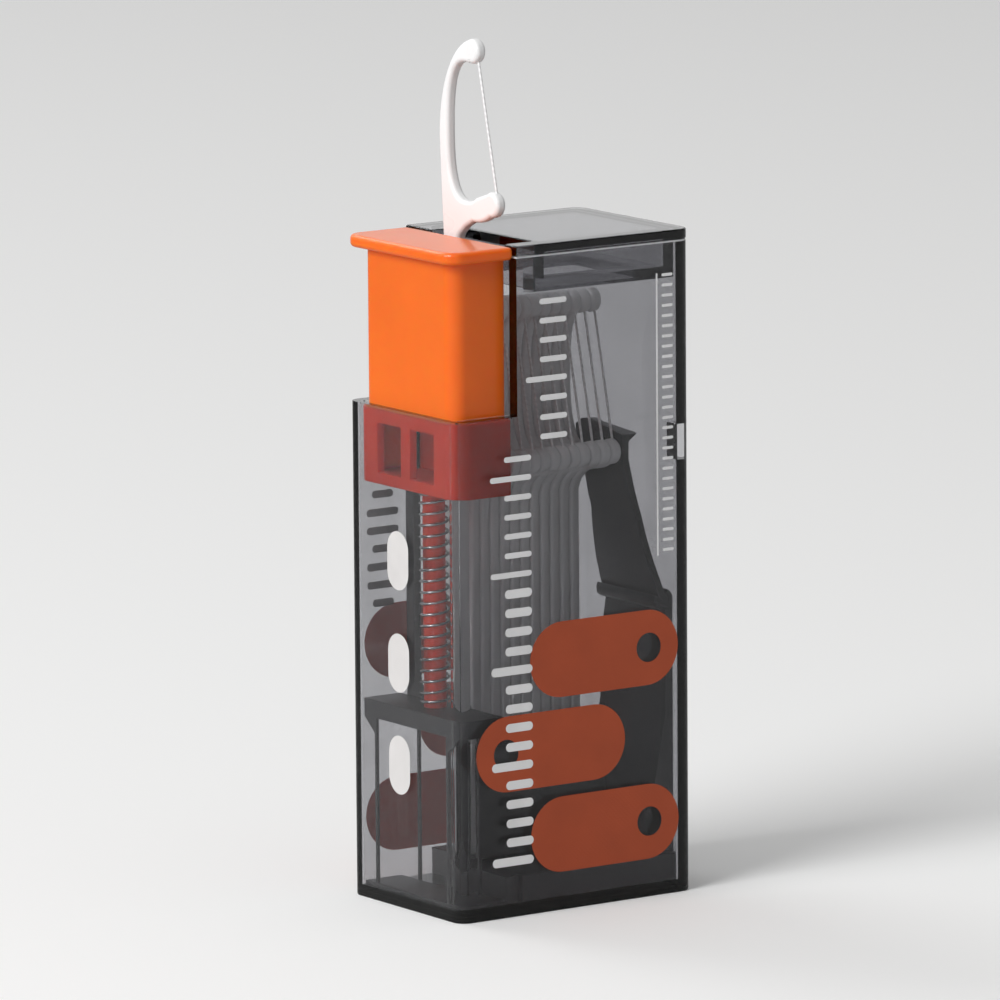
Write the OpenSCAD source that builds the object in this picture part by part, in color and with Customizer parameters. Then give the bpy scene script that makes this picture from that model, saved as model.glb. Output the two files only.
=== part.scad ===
// Press-button dispenser for bow-shaped floss picks.
// Millimetres. X runs along the wide face, the wide face seen first looks along -Y, Z is up.
// The origin is on the table, under the middle of the case.

/* [Case] */
// Room between the last stored pick and the narrow wall, for the pusher
tail_room = 6.7; // [6.3:0.1:10]
// Depth of the case, front to back
case_d = 27.2; // [26.8:0.1:32]
// Room between the stored picks and the foot of the lid's plug skirt
bow_room = 2; // [1.5:0.1:11]
// Thickness of the clear walls
wall = 1.8; // [1.2:0.1:1.9]
// Thickness of the thinner narrow wall at the button's end
end_wall = 1; // [0.8:0.05:1.2]
// Thickness of the clear floor
floor_t = 1.65; // [1.2:0.05:2]
// Radius of the upright corners outside
corner_r = 2; // [1:0.1:3]
// Radius of the upright corners inside
inner_r = 0.6; // [0.3:0.1:1]
// Length of the low step that the button stands in
step_w = 10.3; // [10.2:0.05:10.8]
// Height of the low step
step_h = 71; // [70:0.1:72]
// Width of the upright rib on each wide wall beside the slider
rib_w = 1; // [0.7:0.05:1.2]
// Reach of those ribs into the case
rib_reach = 0.9; // [0.6:0.05:1.2]
// Reach of the two beads inside the step's rim that stop the slider
bead_reach = 0.4; // [0.3:0.05:0.5]
// Height of those beads
bead_h = 0.4; // [0.3:0.05:0.6]
// Depth of the small window in the narrow wall, along Y
window_d = 2.55; // [2:0.05:4]
// Height of that window
window_h = 5.1; // [4:0.1:7]
// Height of the window's sill above the table
window_z = 62; // [55:0.5:68]

/* [Lid] */
// Thickness of the lid's plate
lid_t = 1.5; // [1:0.1:2]
// How far the lid's plate stands out past the front and back walls
lid_overhang = 0.05; // [0:0.01:0.2]
// Depth of the plug skirt under the plate
skirt_h = 5.4; // [3:0.1:5.6]
// Thickness of the plug skirt
skirt_t = 1.3; // [0.8:0.1:1.6]
// Radius of the plug skirt's corners beside the button
skirt_r = 4; // [2.5:0.1:4.5]
// Height of the foot that runs round the inside of the plug skirt
skirt_foot_h = 1.5; // [1:0.1:2]
// Width of that foot
skirt_foot_w = 3.5; // [1.5:0.1:4]
// Setback of the plug skirt from the button
skirt_back = 1.1; // [0.9:0.05:1.6]
// Gap between the plug skirt and the walls
skirt_gap = 0.15; // [0.1:0.01:0.3]
// Width of the pick slot, along X
slot_w = 4.75; // [4.6:0.05:5.2]
// Room in the slot in front of and behind the pick's head
slot_room = 0.5; // [0.3:0.05:0.8]
// Extra room at the slot's front end, where fingers grip the bow
slot_front_room = 2.4; // [1:0.1:2.6]

/* [Button] */
// How far the button goes down
travel = 21.9; // [18:0.1:22.5]
// Thickness of the button's lip
lip_t = 1.8; // [1.3:0.1:2.2]
// How far the lip stands out past the case's narrow wall
lip_reach = 0.6; // [0.4:0.05:1.2]
// How far the lip stays inside the case's front and back
lip_inset = 0.5; // [0.1:0.05:0.8]
// Radius of the lip's upright corners at its free end
lip_r = 2.4; // [1.5:0.1:3]
// Radius of the lip's rounded edge
lip_edge_r = 0.6; // [0.3:0.05:0.8]
// Thickness of the button's wall
cap_wall = 1.5; // [1.2:0.1:1.8]
// Radius of the button body's upright corners at its free end
cap_r = 2.1; // [1:0.1:2.4]
// Radius of the button body's upright corners beside the lid
cap_inner_r = 0.7; // [0.3:0.1:1.2]
// Gap between the button's body and the lid and walls beside it
cap_gap = 0.1; // [0.05:0.01:0.2]
// Height of the slider at the button's foot
slider_h = 10.7; // [9.8:0.1:12]
// Wall of the slider
slider_wall = 1.3; // [1:0.1:1.5]
// Thinner wall of the slider beside the picks
slider_thin_wall = 0.75; // [0.6:0.05:0.9]
// Gap between the slider and the case
slider_gap = 0.1; // [0.05:0.01:0.15]
// Radius of the slider's upright corners at its free end
slider_r = 2.1; // [1:0.1:2.4]
// Radius of the slider's upright corners beside the ribs
slider_inner_r = 0.6; // [0.3:0.1:1]
// Width of each slider window, along Y
slider_window_d = 5.8; // [4:0.05:6.2]
// Height of each slider window
slider_window_h = 7; // [5:0.1:7.6]
// Bar between the two slider windows
slider_mullion = 2.3; // [1.5:0.05:3]
// Diameter of the guide rod inside the spring
rod_d = 3.2; // [2.6:0.1:3.2]

/* [Spring] */
// Diameter of the spring's wire
wire_d = 0.4; // [0.3:0.02:0.42]
// Gap between the spring's inside and the guide rod
spring_gap = 0.15; // [0.1:0.01:0.3]
// Number of working curls
curls = 18; // [12:1:19]
// Rise of each closed end curl
end_rise = 0.9; // [0.85:0.01:1]

/* [Frame] */
// Height of the shelf's top, where the spring stands
shelf_z = 28.5; // [27.5:0.1:29]
// Thickness of the shelf
shelf_t = 2.6; // [1.8:0.1:3]
// Thickness of the frame's base
base_t = 3.85; // [3.5:0.05:4.2]
// Thickness of the foot plate under the button
foot_t = 0.5; // [0.4:0.05:0.9]
// Thickness of the shelf's square legs
leg_t = 0.5; // [0.45:0.05:0.9]
// Reach of the shelf past its inner legs
shelf_tab = 0.7; // [0.4:0.05:0.8]
// Place of the outer legs along Y, to their outer face
outer_leg_y = 9.1; // [8:0.1:10]
// Place of the inner legs along Y, to their outer face
inner_leg_y = 6.9; // [5:0.1:7.4]
// Height of the handle channel's walls above the base
channel_h = 16.5; // [10:0.5:20]
// Thickness of the handle channel's walls
channel_t = 1.3; // [1:0.1:1.8]
// Gap between the frame and the case
frame_gap = 0.15; // [0.1:0.01:0.2]

/* [Pusher] */
// Thickness of the pusher's springy arm
arm_t = 1.1; // [0.8:0.05:1.3]
// Height of the pusher's top edge above the table
arm_top = 67; // [65:0.1:68]
// Height of the pusher's root above the table
arm_root_z = 42; // [36:0.5:44]
// Straight length at the top of the arm
arm_flat = 3.5; // [2:0.1:6]
// Radius of the bead at the arm's root
root_r = 0.9; // [0.8:0.05:1]
// Running gap round the bead
root_gap = 0.06; // [0.03:0.01:0.1]
// Wall round the bead's seat
seat_wall = 0.6; // [0.5:0.05:0.8]
// How far the beak at the arm's top reaches back
beak_reach = 1.5; // [1:0.1:1.6]

/* [Picks] */
// Length of a pick, from its point to the top of its bow
pick_l = 80.4; // [79:0.1:82]
// Thickness of a pick
pick_t = 1.7; // [1.3:0.05:1.8]
// Gap between one stored pick and the next
pick_gap = 0.02; // [0.02:0.01:0.1]
// Picks in store
stored_count = 11; // [6:1:11]
// Width of a pick's handle
handle_w = 3.2; // [2.6:0.1:3.4]
// Diameter of the floss
floss_d = 0.36; // [0.2:0.02:0.4]
// Place of the handles along Y
handle_y = 4.1; // [3.6:0.1:4.4]
// Room between the slider and the raised pick
pick_room = 0.9; // [0.6:0.05:1.2]
// How far the raised pick stands above the stored ones
raised_by = 36.65; // [30:0.05:38]

/* [Hidden] */
$fn = 64;

SMOKE = [0.36, 0.37, 0.39, 0.45];
ORANGE = [1, 0.5, 0.12];
DARK = [0.2, 0.2, 0.22];
WHITE = [0.95, 0.95, 0.94];
STEEL = [0.75, 0.76, 0.78];
FLOSS = [0.98, 0.98, 0.98];

// Cuts run this far past the surface that they cut
past = 1;
// Gap between flat faces that move past each other
slide_gap = 0.2;

// Gap between faces that stay still beside each other
rest_gap = 0.1;

// Case, outside and inside: its length follows from the row of picks
case_w = step_w - cap_gap + pick_room + 2 * pick_t + rest_gap
    + (stored_count - 1) * (pick_t + pick_gap) + tail_room + wall;
left = -case_w / 2;
right = case_w / 2;
front = -case_d / 2;
back = case_d / 2;
in_left = left + end_wall;
in_right = right - wall;
in_front = front + wall;
in_back = back - wall;
step_x = left + step_w;
// The stored picks stand just above the frame's base, and the case's height follows from their length
stored_z = floor_t + base_t + 0.2;
shell_top = stored_z + pick_l + bow_room + skirt_h;
case_h = shell_top + lid_t;

// Button and slider
slider_x0 = in_left + slider_gap;
slider_x1 = step_x - cap_gap;
slider_y = in_back - slider_gap;
slider_top = step_h - bead_h - rest_gap;
slider_bottom = slider_top - slider_h;
slider_floor = slider_bottom + slider_wall;
slider_in_x0 = slider_x0 + slider_wall;
slider_in_x1 = slider_x1 - slider_thin_wall;
slider_in_y = slider_y - slider_wall;
cap_x0 = in_left + cap_gap;
cap_x1 = step_x - cap_gap;
cap_y = in_back - bead_reach - 0.3;
lip_z0 = step_h + travel + rest_gap;
lip_z1 = lip_z0 + lip_t;
lip_x0 = left - lip_reach;
lip_x1 = cap_x1;
lip_y = back - lip_inset;
rod_x = (slider_in_x0 + slider_in_x1) / 2;
rod_r = rod_d / 2;
rod_end = shelf_z - 1.7;

// Lifter, which runs behind the rod and inside the slider
lifter_t = 1.25;
lifter_x1 = slider_in_x1 - 0.05;
lifter_x0 = lifter_x1 - lifter_t;
lifter_y1 = slider_in_y - 0.05;
lifter_y0 = lifter_y1 - 2;
lifter_grip = 6.9;
ledge_t = 1.6;
// Room round the lifter as it passes the frame, and round the rod in its hole
lifter_room = 0.3;
rod_gap = 0.08;
spigot_gap = 0.1;
spigot_deep = slider_h - slider_wall - 0.6;

// Picks: the raised one stands just clear of the slider
raised_x = slider_x1 + pick_room + pick_t / 2;
first_x = raised_x + pick_t + rest_gap;
pick_pitch = pick_t + pick_gap;
raised_z = stored_z + raised_by;
last_x = first_x + (stored_count - 1) * pick_pitch;
handle_gap = 0.3;
ledge_top = stored_z - 0.1 + travel;
ledge_z = ledge_top - ledge_t;
ledge_x1 = raised_x + pick_t / 2 - 0.05;

// Outline of a pick in its own plane: y along Y from the handle's middle, z up from the point
bow_top = pick_l;
bow_a = 8.7;
bow_c = [-6.25, pick_l - 14];
bow_b_up = 14;
bow_b_down = 11.8;
eye_a = 4.45;
eye_b = 9.8;
eye_c = [-4.15, pick_l - 13.2];
eye_power = 2.6;
horn_r = 1.8;
upper_horn = [-5.6, pick_l - 1.75];
lower_horn = [-10.15, pick_l - 22.9];
floss_top = [-6.2, pick_l - 1.9];
floss_low = [-10.85, pick_l - 21.9];
neck_z = pick_l - 28.8;
point_l = 20;
point_w = 0.9;
head_back = bow_c[0] + bow_a;
head_front = lower_horn[0] - horn_r;

// Slot in the lid, open towards the button
slot_x1 = step_x + slot_w;
slot_y0 = handle_y + head_front - slot_front_room - slot_room;
slot_y1 = handle_y + head_back + slot_room;

// Guide channel for the handles
channel_y0 = handle_y - handle_w / 2 - handle_gap;
channel_y1 = handle_y + handle_w / 2 + handle_gap;
channel_x0 = first_x - pick_t / 2 + 0.1;
channel_x1 = last_x + pick_t / 2 + 1.5;
base_top = floor_t + base_t;

// Pusher arm: a straight top against the last pick, then an arc down to the bead at its root
root_x = in_right - frame_gap - root_r - root_gap - seat_wall;
arm_x = last_x + pick_t / 2 + 0.25 + arm_t / 2;
arc_top = arm_top - arm_flat;
arc_dz = arc_top - arm_root_z;
arc_dx = root_x - arm_x;
arc_r = (arc_dz * arc_dz + arc_dx * arc_dx) / (2 * arc_dx);
seat_r = root_r + root_gap + seat_wall;
arm_back_y = 2.3;
arm_front_y = -7.5;
upright_front_y = -10.6;
upright_back_y = 5.4;

// Spring round the rod, between the shelf and the slider
spring_r = rod_r + spring_gap + wire_d / 2;
spring_l = slider_bottom - shelf_z;
curl_rings = 8;
wire_sides = 6;
curl_rise = (spring_l - 2 * wire_d - 2 * end_rise) / curls;

// Rounded rectangle between two corners; its right corners may have a radius of their own
module round_rect(x0, x1, y0, y1, r, right_r) {
    e = is_undef(right_r) ? r : right_r;
    translate([x0 + r, y0]) square([x1 - x0 - r - e, y1 - y0]);
    translate([x0, y0 + r]) square([2 * r, y1 - y0 - 2 * r]);
    translate([x1 - 2 * e, y0 + e]) square([2 * e, y1 - y0 - 2 * e]);
    for (y = [y0 + r, y1 - r]) translate([x0 + r, y]) circle(r);
    for (y = [y0 + e, y1 - e]) translate([x1 - e, y]) circle(e);
}

// Box between two corners
module block(x0, x1, y0, y1, z0, z1) {
    translate([x0, y0, z0]) cube([x1 - x0, y1 - y0, z1 - z0]);
}

// Outline drawn in the X-Z plane, thickened from y0 to y1
module along_y(y0, y1) {
    translate([0, y1, 0]) rotate([90, 0, 0]) linear_extrude(y1 - y0) children();
}

// Outline drawn in the Y-Z plane, thickened from x0 to x1
module along_x(x0, x1) {
    translate([x0, 0, 0]) rotate([90, 0, 90]) linear_extrude(x1 - x0) children();
}

module shell() {
    color(SMOKE) {
        difference() {
            linear_extrude(shell_top) round_rect(left, right, front, back, corner_r);
            translate([0, 0, floor_t]) linear_extrude(shell_top)
                round_rect(in_left, in_right, in_front, in_back, inner_r);
            block(left - past, step_x, front - past, back + past, step_h, case_h);
            block(in_right - past, right + past, in_front, in_front + window_d,
                window_z, window_z + window_h);
        }
        for (side = [-1, 1]) {
            stop_bead(side);
            rib(side, 0, floor_t - 0.1, shell_top);
        }
    }
}

// Upright rib on a wide wall that keeps the slider from the picks, or the room for it
module rib(side, room, z0, z1) {
    y = side * (in_back - rib_reach / 2);
    block(step_x - room, step_x + rib_w + room, y - rib_reach / 2 - (side < 0 ? 0.1 : room),
        y + rib_reach / 2 + (side > 0 ? 0.1 : room), z0, z1);
}

// Bead along the inside of the step's rim, in front or behind
module stop_bead(side) {
    y = side * (in_back - bead_reach / 2);
    block(in_left + inner_r, step_x - slide_gap, y - bead_reach / 2 - (side < 0 ? 0.1 : 0),
        y + bead_reach / 2 + (side > 0 ? 0.1 : 0), step_h - bead_h, step_h);
}

module lid() {
    skirt_x1 = in_right - skirt_gap;
    skirt_y = in_back - skirt_gap;
    skirt_x0 = step_x + skirt_back;
    foot = skirt_t + skirt_foot_w;
    color(SMOKE) {
        translate([0, 0, shell_top]) linear_extrude(lid_t) difference() {
            round_rect(left, right, front - lid_overhang, back + lid_overhang, corner_r);
            translate([left - past, front - past]) square([step_w + past, case_d + 2 * past]);
            slot_outline(0);
        }
        translate([0, 0, shell_top - skirt_h]) linear_extrude(skirt_h) difference() {
            round_rect(skirt_x0, skirt_x1, -skirt_y, skirt_y, skirt_r, inner_r);
            difference() {
                round_rect(skirt_x0 + skirt_t, skirt_x1 - skirt_t, -skirt_y + skirt_t,
                    skirt_y - skirt_t, skirt_r - skirt_t, inner_r);
                slot_outline(skirt_t);
            }
            slot_outline(0);
        }
        translate([0, 0, shell_top - skirt_h]) linear_extrude(skirt_foot_h) difference() {
            round_rect(skirt_x0 + skirt_t - 0.1, skirt_x1 - skirt_t + 0.1, -skirt_y + skirt_t - 0.1,
                skirt_y - skirt_t + 0.1, skirt_r - skirt_t, inner_r);
            round_rect(skirt_x0 + foot, skirt_x1 - foot, -skirt_y + foot, skirt_y - foot, inner_r);
            slot_outline(0);
        }
    }
}

// Plan of the pick slot, grown by a wall
module slot_outline(grow) {
    slot_r = 0.6;
    round_rect(step_x - 2, slot_x1 + grow, slot_y0 - grow, slot_y1 + grow, slot_r);
}

module button_cap() {
    spigot_x0 = slider_in_x0 + spigot_gap;
    spigot_x1 = lifter_x0 - spigot_gap;
    spigot_y = slider_in_y - spigot_gap;
    spigot_z = slider_top - spigot_deep;
    color(ORANGE) {
        lip();
        difference() {
            translate([0, 0, slider_top]) linear_extrude(lip_z0 - slider_top)
                round_rect(cap_x0, cap_x1, -cap_y, cap_y, cap_r, cap_inner_r);
            block(cap_x0 + cap_wall, cap_x1 - cap_wall, -cap_y + cap_wall, cap_y - cap_wall,
                slider_top - past, lip_z0 - 0.5);
        }
        // two cheeks that plug into the slider, in front and behind
        for (side = [-1, 1]) {
            y = side * (spigot_y - cap_wall / 2);
            block(spigot_x0, spigot_x1, y - cap_wall / 2, y + cap_wall / 2,
                spigot_z, slider_top + 1.5);
        }
    }
}

// Lip with its edge rounded all round, squarer in plan beside the lid
module lip() {
    hull() for (side = [-1, 1]) {
        translate([lip_x0 + lip_r, side * (lip_y - lip_r), lip_z0]) lip_corner(lip_r);
        translate([lip_x1 - lip_edge_r, side * (lip_y - lip_edge_r), lip_z0])
            lip_corner(lip_edge_r);
    }
}

module lip_corner(r) {
    rotate_extrude($fn = 32) intersection() {
        square([r, lip_t]);
        for (z = [lip_edge_r, lip_t - lip_edge_r])
            translate([r - lip_edge_r, z]) circle(lip_edge_r, $fn = 24);
    }
}

module slider() {
    window_z0 = slider_floor + 0.4;
    color(ORANGE) {
        difference() {
            translate([0, 0, slider_bottom]) linear_extrude(slider_h)
                round_rect(slider_x0, slider_x1, -slider_y, slider_y, slider_r, slider_inner_r);
            block(slider_in_x0, slider_in_x1, -slider_in_y, slider_in_y,
                slider_floor, slider_top + past);
            for (side = [-1, 1]) {
                y0 = side * (slider_mullion + slider_window_d) / 2 - slider_window_d / 2;
                block(slider_x0 - past, slider_in_x0 + past / 2, y0, y0 + slider_window_d,
                    window_z0, window_z0 + slider_window_h);
            }
            block(lifter_x0 - 0.05, slider_in_x1, lifter_y0 - 0.05, slider_in_y,
                slider_bottom - past, slider_top + past);
        }
        translate([rod_x, 0, rod_end]) cylinder(h = slider_floor - rod_end, r = rod_r);
    }
}

// Bar down the back of the case, with the ledge that a pick stands on
module lifter() {
    bar_top = slider_floor + lifter_grip;
    ledge_y0 = handle_y - handle_w / 2;
    ledge_y1 = handle_y + handle_w / 2;
    rib_h = 3;
    color(DARK) {
        block(lifter_x0, lifter_x1, lifter_y0, lifter_y1, ledge_z, bar_top);
        block(lifter_x0, lifter_x1, ledge_y0, lifter_y1, ledge_z, ledge_top);
        block(lifter_x0, ledge_x1, ledge_y0, ledge_y1, ledge_z, ledge_top);
        along_x(lifter_x0, lifter_x1) polygon([
            [lifter_y0 + 0.1, ledge_top - 0.1], [lifter_y0 + 0.1, ledge_top + rib_h],
            [lifter_y0 - rib_h, ledge_top - 0.1]
        ]);
    }
}

// Height of the spring's centre line after a number of curls
function spring_z(n) =
    n < 1 ? end_rise * n :
    n < curls + 1 ? end_rise + (n - 1) * curl_rise :
    end_rise + curls * curl_rise + (n - curls - 1) * end_rise;

total_curls = curls + 2;
spring_path = concat(
    [[spring_r, 0, 0]],
    [for (i = [0 : total_curls * curl_rings])
        let (n = i / curl_rings, a = 360 * n)
        [spring_r * cos(a), spring_r * sin(a), wire_d + spring_z(n)]],
    [[spring_r, 0, spring_l]]
);

function unit(v) = v / norm(v);
function path_dir(p, i) =
    i == 0 ? unit(p[1] - p[0]) :
    i == len(p) - 1 ? unit(p[i] - p[i - 1]) :
    unit(unit(p[i + 1] - p[i]) + unit(p[i] - p[i - 1]));

// Ring of points square to the path, kept from twisting by the outward direction at each point
function wire_ring(p, i) =
    let (d = path_dir(p, i),
         out = unit([p[i][0], p[i][1], 0]),
         u = unit(out - d * (out * d)),
         v = cross(d, u))
    [for (k = [0 : wire_sides - 1])
        let (a = 360 * (k + 0.5) / wire_sides)
        p[i] + wire_d / 2 * (cos(a) * u + sin(a) * v)];

module tube(p) {
    rings = [for (i = [0 : len(p) - 1]) each wire_ring(p, i)];
    last = len(p) - 1;
    sides = [for (i = [0 : last - 1], k = [0 : wire_sides - 1])
        let (a = i * wire_sides + k,
             b = i * wire_sides + (k + 1) % wire_sides,
             c = a + wire_sides,
             d = b + wire_sides)
        each [[a, d, b], [a, c, d]]];
    start = [for (k = [1 : wire_sides - 2]) [0, k, k + 1]];
    end = [for (k = [1 : wire_sides - 2])
        [last * wire_sides, last * wire_sides + k + 1, last * wire_sides + k]];
    polyhedron(points = rings, faces = concat(sides, start, end));
}

// Least gap between points of the spring's wire that lie more than half a curl apart
spring_gaps = [for (i = [0 : len(spring_path) - 1])
    for (j = [i + curl_rings / 2 : 1 : min(i + 2 * curl_rings, len(spring_path) - 1)])
        norm(spring_path[i] - spring_path[j]) - wire_d];
echo(least_spring_gap = min(spring_gaps));

module button_spring() {
    color(STEEL) translate([rod_x, 0, shelf_z]) tube(spring_path);
}

module inner_frame() {
    shelf_x0 = in_left + 0.65;
    shelf_x1 = lifter_x0 - lifter_room;
    shelf_tab_x1 = shelf_x1 + shelf_tab;
    shelf_tab_y = handle_y - handle_w / 2 - 2 * lifter_room;
    frame_y = in_back - frame_gap;
    frame_x1 = in_right - frame_gap;
    leg_top = shelf_z - shelf_t;
    color(DARK) difference() {
        union() {
            // base, thick under the picks, and a thin foot plate under the button
            translate([0, 0, floor_t]) linear_extrude(base_t)
                round_rect(lifter_x0 + 0.5, frame_x1, -frame_y, frame_y, 0.3, inner_r);
            block(shelf_x0, lifter_x0 + 1, -frame_y, frame_y, floor_t, floor_t + foot_t);
            // shelf, wider in front of the lifter
            block(shelf_x0, shelf_x1, -frame_y, frame_y, leg_top, shelf_z);
            block(rod_x, shelf_tab_x1, -frame_y, shelf_tab_y, leg_top, shelf_z);
            for (side = [-1, 1]) {
                leg(shelf_x0, side * (outer_leg_y - leg_t / 2), leg_top);
                leg(shelf_x1 - leg_t, side * (inner_leg_y - leg_t / 2), leg_top);
                shelf_gusset(shelf_x0, side);
            }
            channel_walls();
            upright();
        }
        translate([rod_x, 0, leg_top - past])
            cylinder(h = shelf_t + 2 * past, r = rod_r + rod_gap);
        // well that the lifter's foot sinks into
        block(lifter_x0 - lifter_room, ledge_x1 + lifter_room, channel_y0, in_back,
            floor_t - past, base_top + past);
        for (side = [-1, 1]) rib(side, frame_gap, floor_t - past, base_top + past);
        translate([root_x, 0, arm_root_z]) arm_opening();
        along_y(-case_d, case_d) translate([root_x, arm_root_z]) circle(root_r + root_gap);
    }
}

// Square leg from the case's floor up into the shelf
module leg(x, y, top) {
    block(x, x + leg_t, y - leg_t / 2, y + leg_t / 2, floor_t, top + 0.1);
}

// Small bracket that steps in from the shelf's end to its outer leg
module shelf_gusset(x, side) {
    z = shelf_z - shelf_t;
    y = in_back - frame_gap;
    drop = 2.2;
    along_x(x, x + leg_t) polygon([
        [side * (outer_leg_y - 0.1), z + 0.1], [side * y, z + 0.1], [side * y, z],
        [side * outer_leg_y, z - drop], [side * (outer_leg_y - 0.1), z - drop]
    ]);
}

// Two walls that keep the row of handles upright, joined by an end wall
module channel_walls() {
    for (y = [channel_y0 - channel_t, channel_y1])
        block(channel_x0, channel_x1, y, y + channel_t, floor_t, base_top + channel_h);
    block(channel_x1 - channel_t, channel_x1, channel_y0 - channel_t, channel_y1 + channel_t,
        floor_t, base_top + channel_h);
}

// Upright on the narrow wall, with the rolled seat that the pusher's root turns in
module upright() {
    x1 = in_right - frame_gap;
    slope_z = arm_root_z - 9;
    upright_t = 1.3;
    difference() {
        union() {
            block(x1 - upright_t, x1, upright_front_y, upright_back_y, floor_t, arm_root_z);
            along_y(upright_front_y, upright_back_y) translate([root_x, arm_root_z]) circle(seat_r);
            for (y = [upright_front_y, upright_back_y - channel_t])
                along_y(y, y + channel_t) polygon([
                    [x1 - 5, floor_t], [x1, floor_t], [x1, base_top + 20],
                    [x1 - upright_t, base_top + 20], [x1 - 5, base_top + 1]
                ]);
        }
        // back edge that slopes in towards the root
        along_x(x1 - 6, x1 + past) polygon([
            [upright_back_y, slope_z], [upright_back_y + past, slope_z],
            [upright_back_y + past, case_h], [upright_back_y - 1.9, case_h],
            [upright_back_y - 1.9, arm_root_z]
        ]);
    }
}

// Opening in the seat that the arm comes up through
module arm_opening() {
    along_y(-case_d, case_d) polygon([[0, 0], [2.2 * sin(-63), 2.2 * cos(-63)], [-1, 3], [1, 3],
        [2.2 * sin(29), 2.2 * cos(29)]]);
}

module pusher() {
    arm_z0 = arm_root_z;
    color(DARK) {
        intersection() {
            along_y(upright_front_y, upright_back_y) arm_profile();
            along_x(0, right) arm_outline();
        }
        along_y(upright_front_y, upright_back_y - 1.9 - 0.2)
            translate([root_x, arm_z0]) circle(root_r);
    }
}

// The arm from the side: flat top with its beak, then an arc that leans back to the root
module arm_profile() {
    translate([arm_x - arm_t / 2, arc_top]) square([arm_t, arm_flat]);
    polygon([[arm_x, arm_top], [arm_x + arm_t / 2 + beak_reach, arm_top - 1.3],
        [arm_x + arm_t / 2, arm_top - 2.4], [arm_x, arm_top - 2.4]]);
    intersection() {
        translate([arm_x + arc_r, arc_top]) difference() {
            circle(arc_r + arm_t / 2, $fn = 256);
            circle(arc_r - arm_t / 2, $fn = 256);
        }
        translate([arm_x - arm_t, arm_root_z]) square([root_x - arm_x + 2 * arm_t, arc_dz + 0.01]);
    }
}

// The arm seen along X: narrow at its waist, wider at its head and root
module arm_outline() {
    polygon([
        [upright_front_y, arm_root_z - 2], [upright_front_y, arm_root_z + 3],
        [arm_front_y - 2, arm_root_z + 12], [arm_front_y, arm_top - 5],
        [arm_front_y, arm_top - 1.4], [arm_back_y - 2, arm_top], [arm_back_y, arm_top - 0.2],
        [arm_back_y + 1.6, arm_top - 1.2], [arm_back_y + 1.6, arm_top - 3],
        [arm_back_y - 0.3, arm_top - 8.5], [arm_back_y - 0.9, arm_root_z + 12],
        [arm_back_y - 0.2, arm_root_z + 8], [arm_back_y + 0.6, arm_root_z + 4],
        [upright_back_y - 1.9 - 0.2, arm_root_z], [upright_back_y - 1.9 - 0.2, arm_root_z - 2]
    ]);
}

// Oval through its half-widths, squarer as the power grows past 2
function oval(c, a, b_up, b_down, power, from, to, steps) =
    [for (i = [0 : steps])
        let (t = from + (to - from) * i / steps, x = cos(t), y = sin(t))
        [c[0] + a * sign(x) * pow(abs(x), 2 / power),
         c[1] + (y > 0 ? b_up : b_down) * sign(y) * pow(abs(y), 2 / power)]];

module pick_outline() {
    difference() {
        union() {
            polygon(oval(bow_c, bow_a, bow_b_up, bow_b_down, 2, 0, 354, 59));
            // neck that flares into the back of the bow
            polygon([
                [-handle_w / 2, neck_z - 6], [handle_w / 2, neck_z - 6], [handle_w / 2, neck_z],
                [head_back, bow_c[1] - 1.5], [0, bow_c[1]], [-6, bow_c[1] - 11.6],
                [-3.8, neck_z + 2.1], [-2.35, neck_z + 0.9], [-handle_w / 2, neck_z - 0.6]
            ]);
        }
        polygon(oval(eye_c, eye_a, eye_b, eye_b, eye_power, 0, 350, 35));
        // open front of the bow, between the two horns
        polygon([
            [eye_c[0], eye_c[1] - eye_b], [lower_horn[0], lower_horn[1] + horn_r],
            [lower_horn[0], lower_horn[1] - 12], [-bow_a * 3, lower_horn[1] - 12],
            [-bow_a * 3, bow_top + past], [upper_horn[0], bow_top + past],
            [upper_horn[0], upper_horn[1] - horn_r], [eye_c[0], eye_c[1] + eye_b]
        ]);
    }
    translate(upper_horn) circle(horn_r - 0.05);
    translate(lower_horn) circle(horn_r);
    // handle, drawn down to a point
    polygon([
        [-point_w / 2, 0.5], [-point_w / 2 + 0.3, 0], [point_w / 2 - 0.3, 0], [point_w / 2, 0.5],
        [handle_w / 2, point_l], [handle_w / 2, neck_z], [-handle_w / 2, neck_z],
        [-handle_w / 2, point_l]
    ]);
}

// Straight thread between the middles of the two horns
module floss_line() {
    run = floss_top - floss_low;
    translate([0, floss_low[0], floss_low[1]]) rotate([atan2(-run[0], run[1]), 0, 0])
        cylinder(h = norm(run), r = floss_d / 2, $fn = 24);
}

module pick() {
    color(WHITE) difference() {
        along_x(-pick_t / 2, pick_t / 2) pick_outline();
        floss_line();
    }
}

module floss() {
    color(FLOSS) floss_line();
}

function stored_place(n) = [first_x + (n - 1) * pick_pitch, handle_y, stored_z];

module raised_pick() { translate([raised_x, handle_y, raised_z]) pick(); }
module raised_floss() { translate([raised_x, handle_y, raised_z]) floss(); }
module stored_pick(n) { translate(stored_place(n)) pick(); }
module stored_floss(n) { translate(stored_place(n)) floss(); }

shell();
inner_frame();
lid();
button_cap();
slider();
lifter();
button_spring();
pusher();
raised_pick();
raised_floss();
for (n = [1 : stored_count]) {
    stored_pick(n);
    stored_floss(n);
}
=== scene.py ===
# %% [markdown]
# # A floss pick dispenser with a press button
#
# The real object is a pocket-sized box of smoky clear plastic. Bow-shaped floss picks stand in a
# row inside it, and an orange button on a long spring lifts one out of a slot in the lid.
# The engineering model gives every solid in its place. This lesson dresses it: moulded edges that
# catch the light, plastic that is tinted all the way through, a wound spring and thin prints.

# %% Load the engineering model
import math

import bmesh
import bpy
from mathutils import Matrix, Vector


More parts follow.
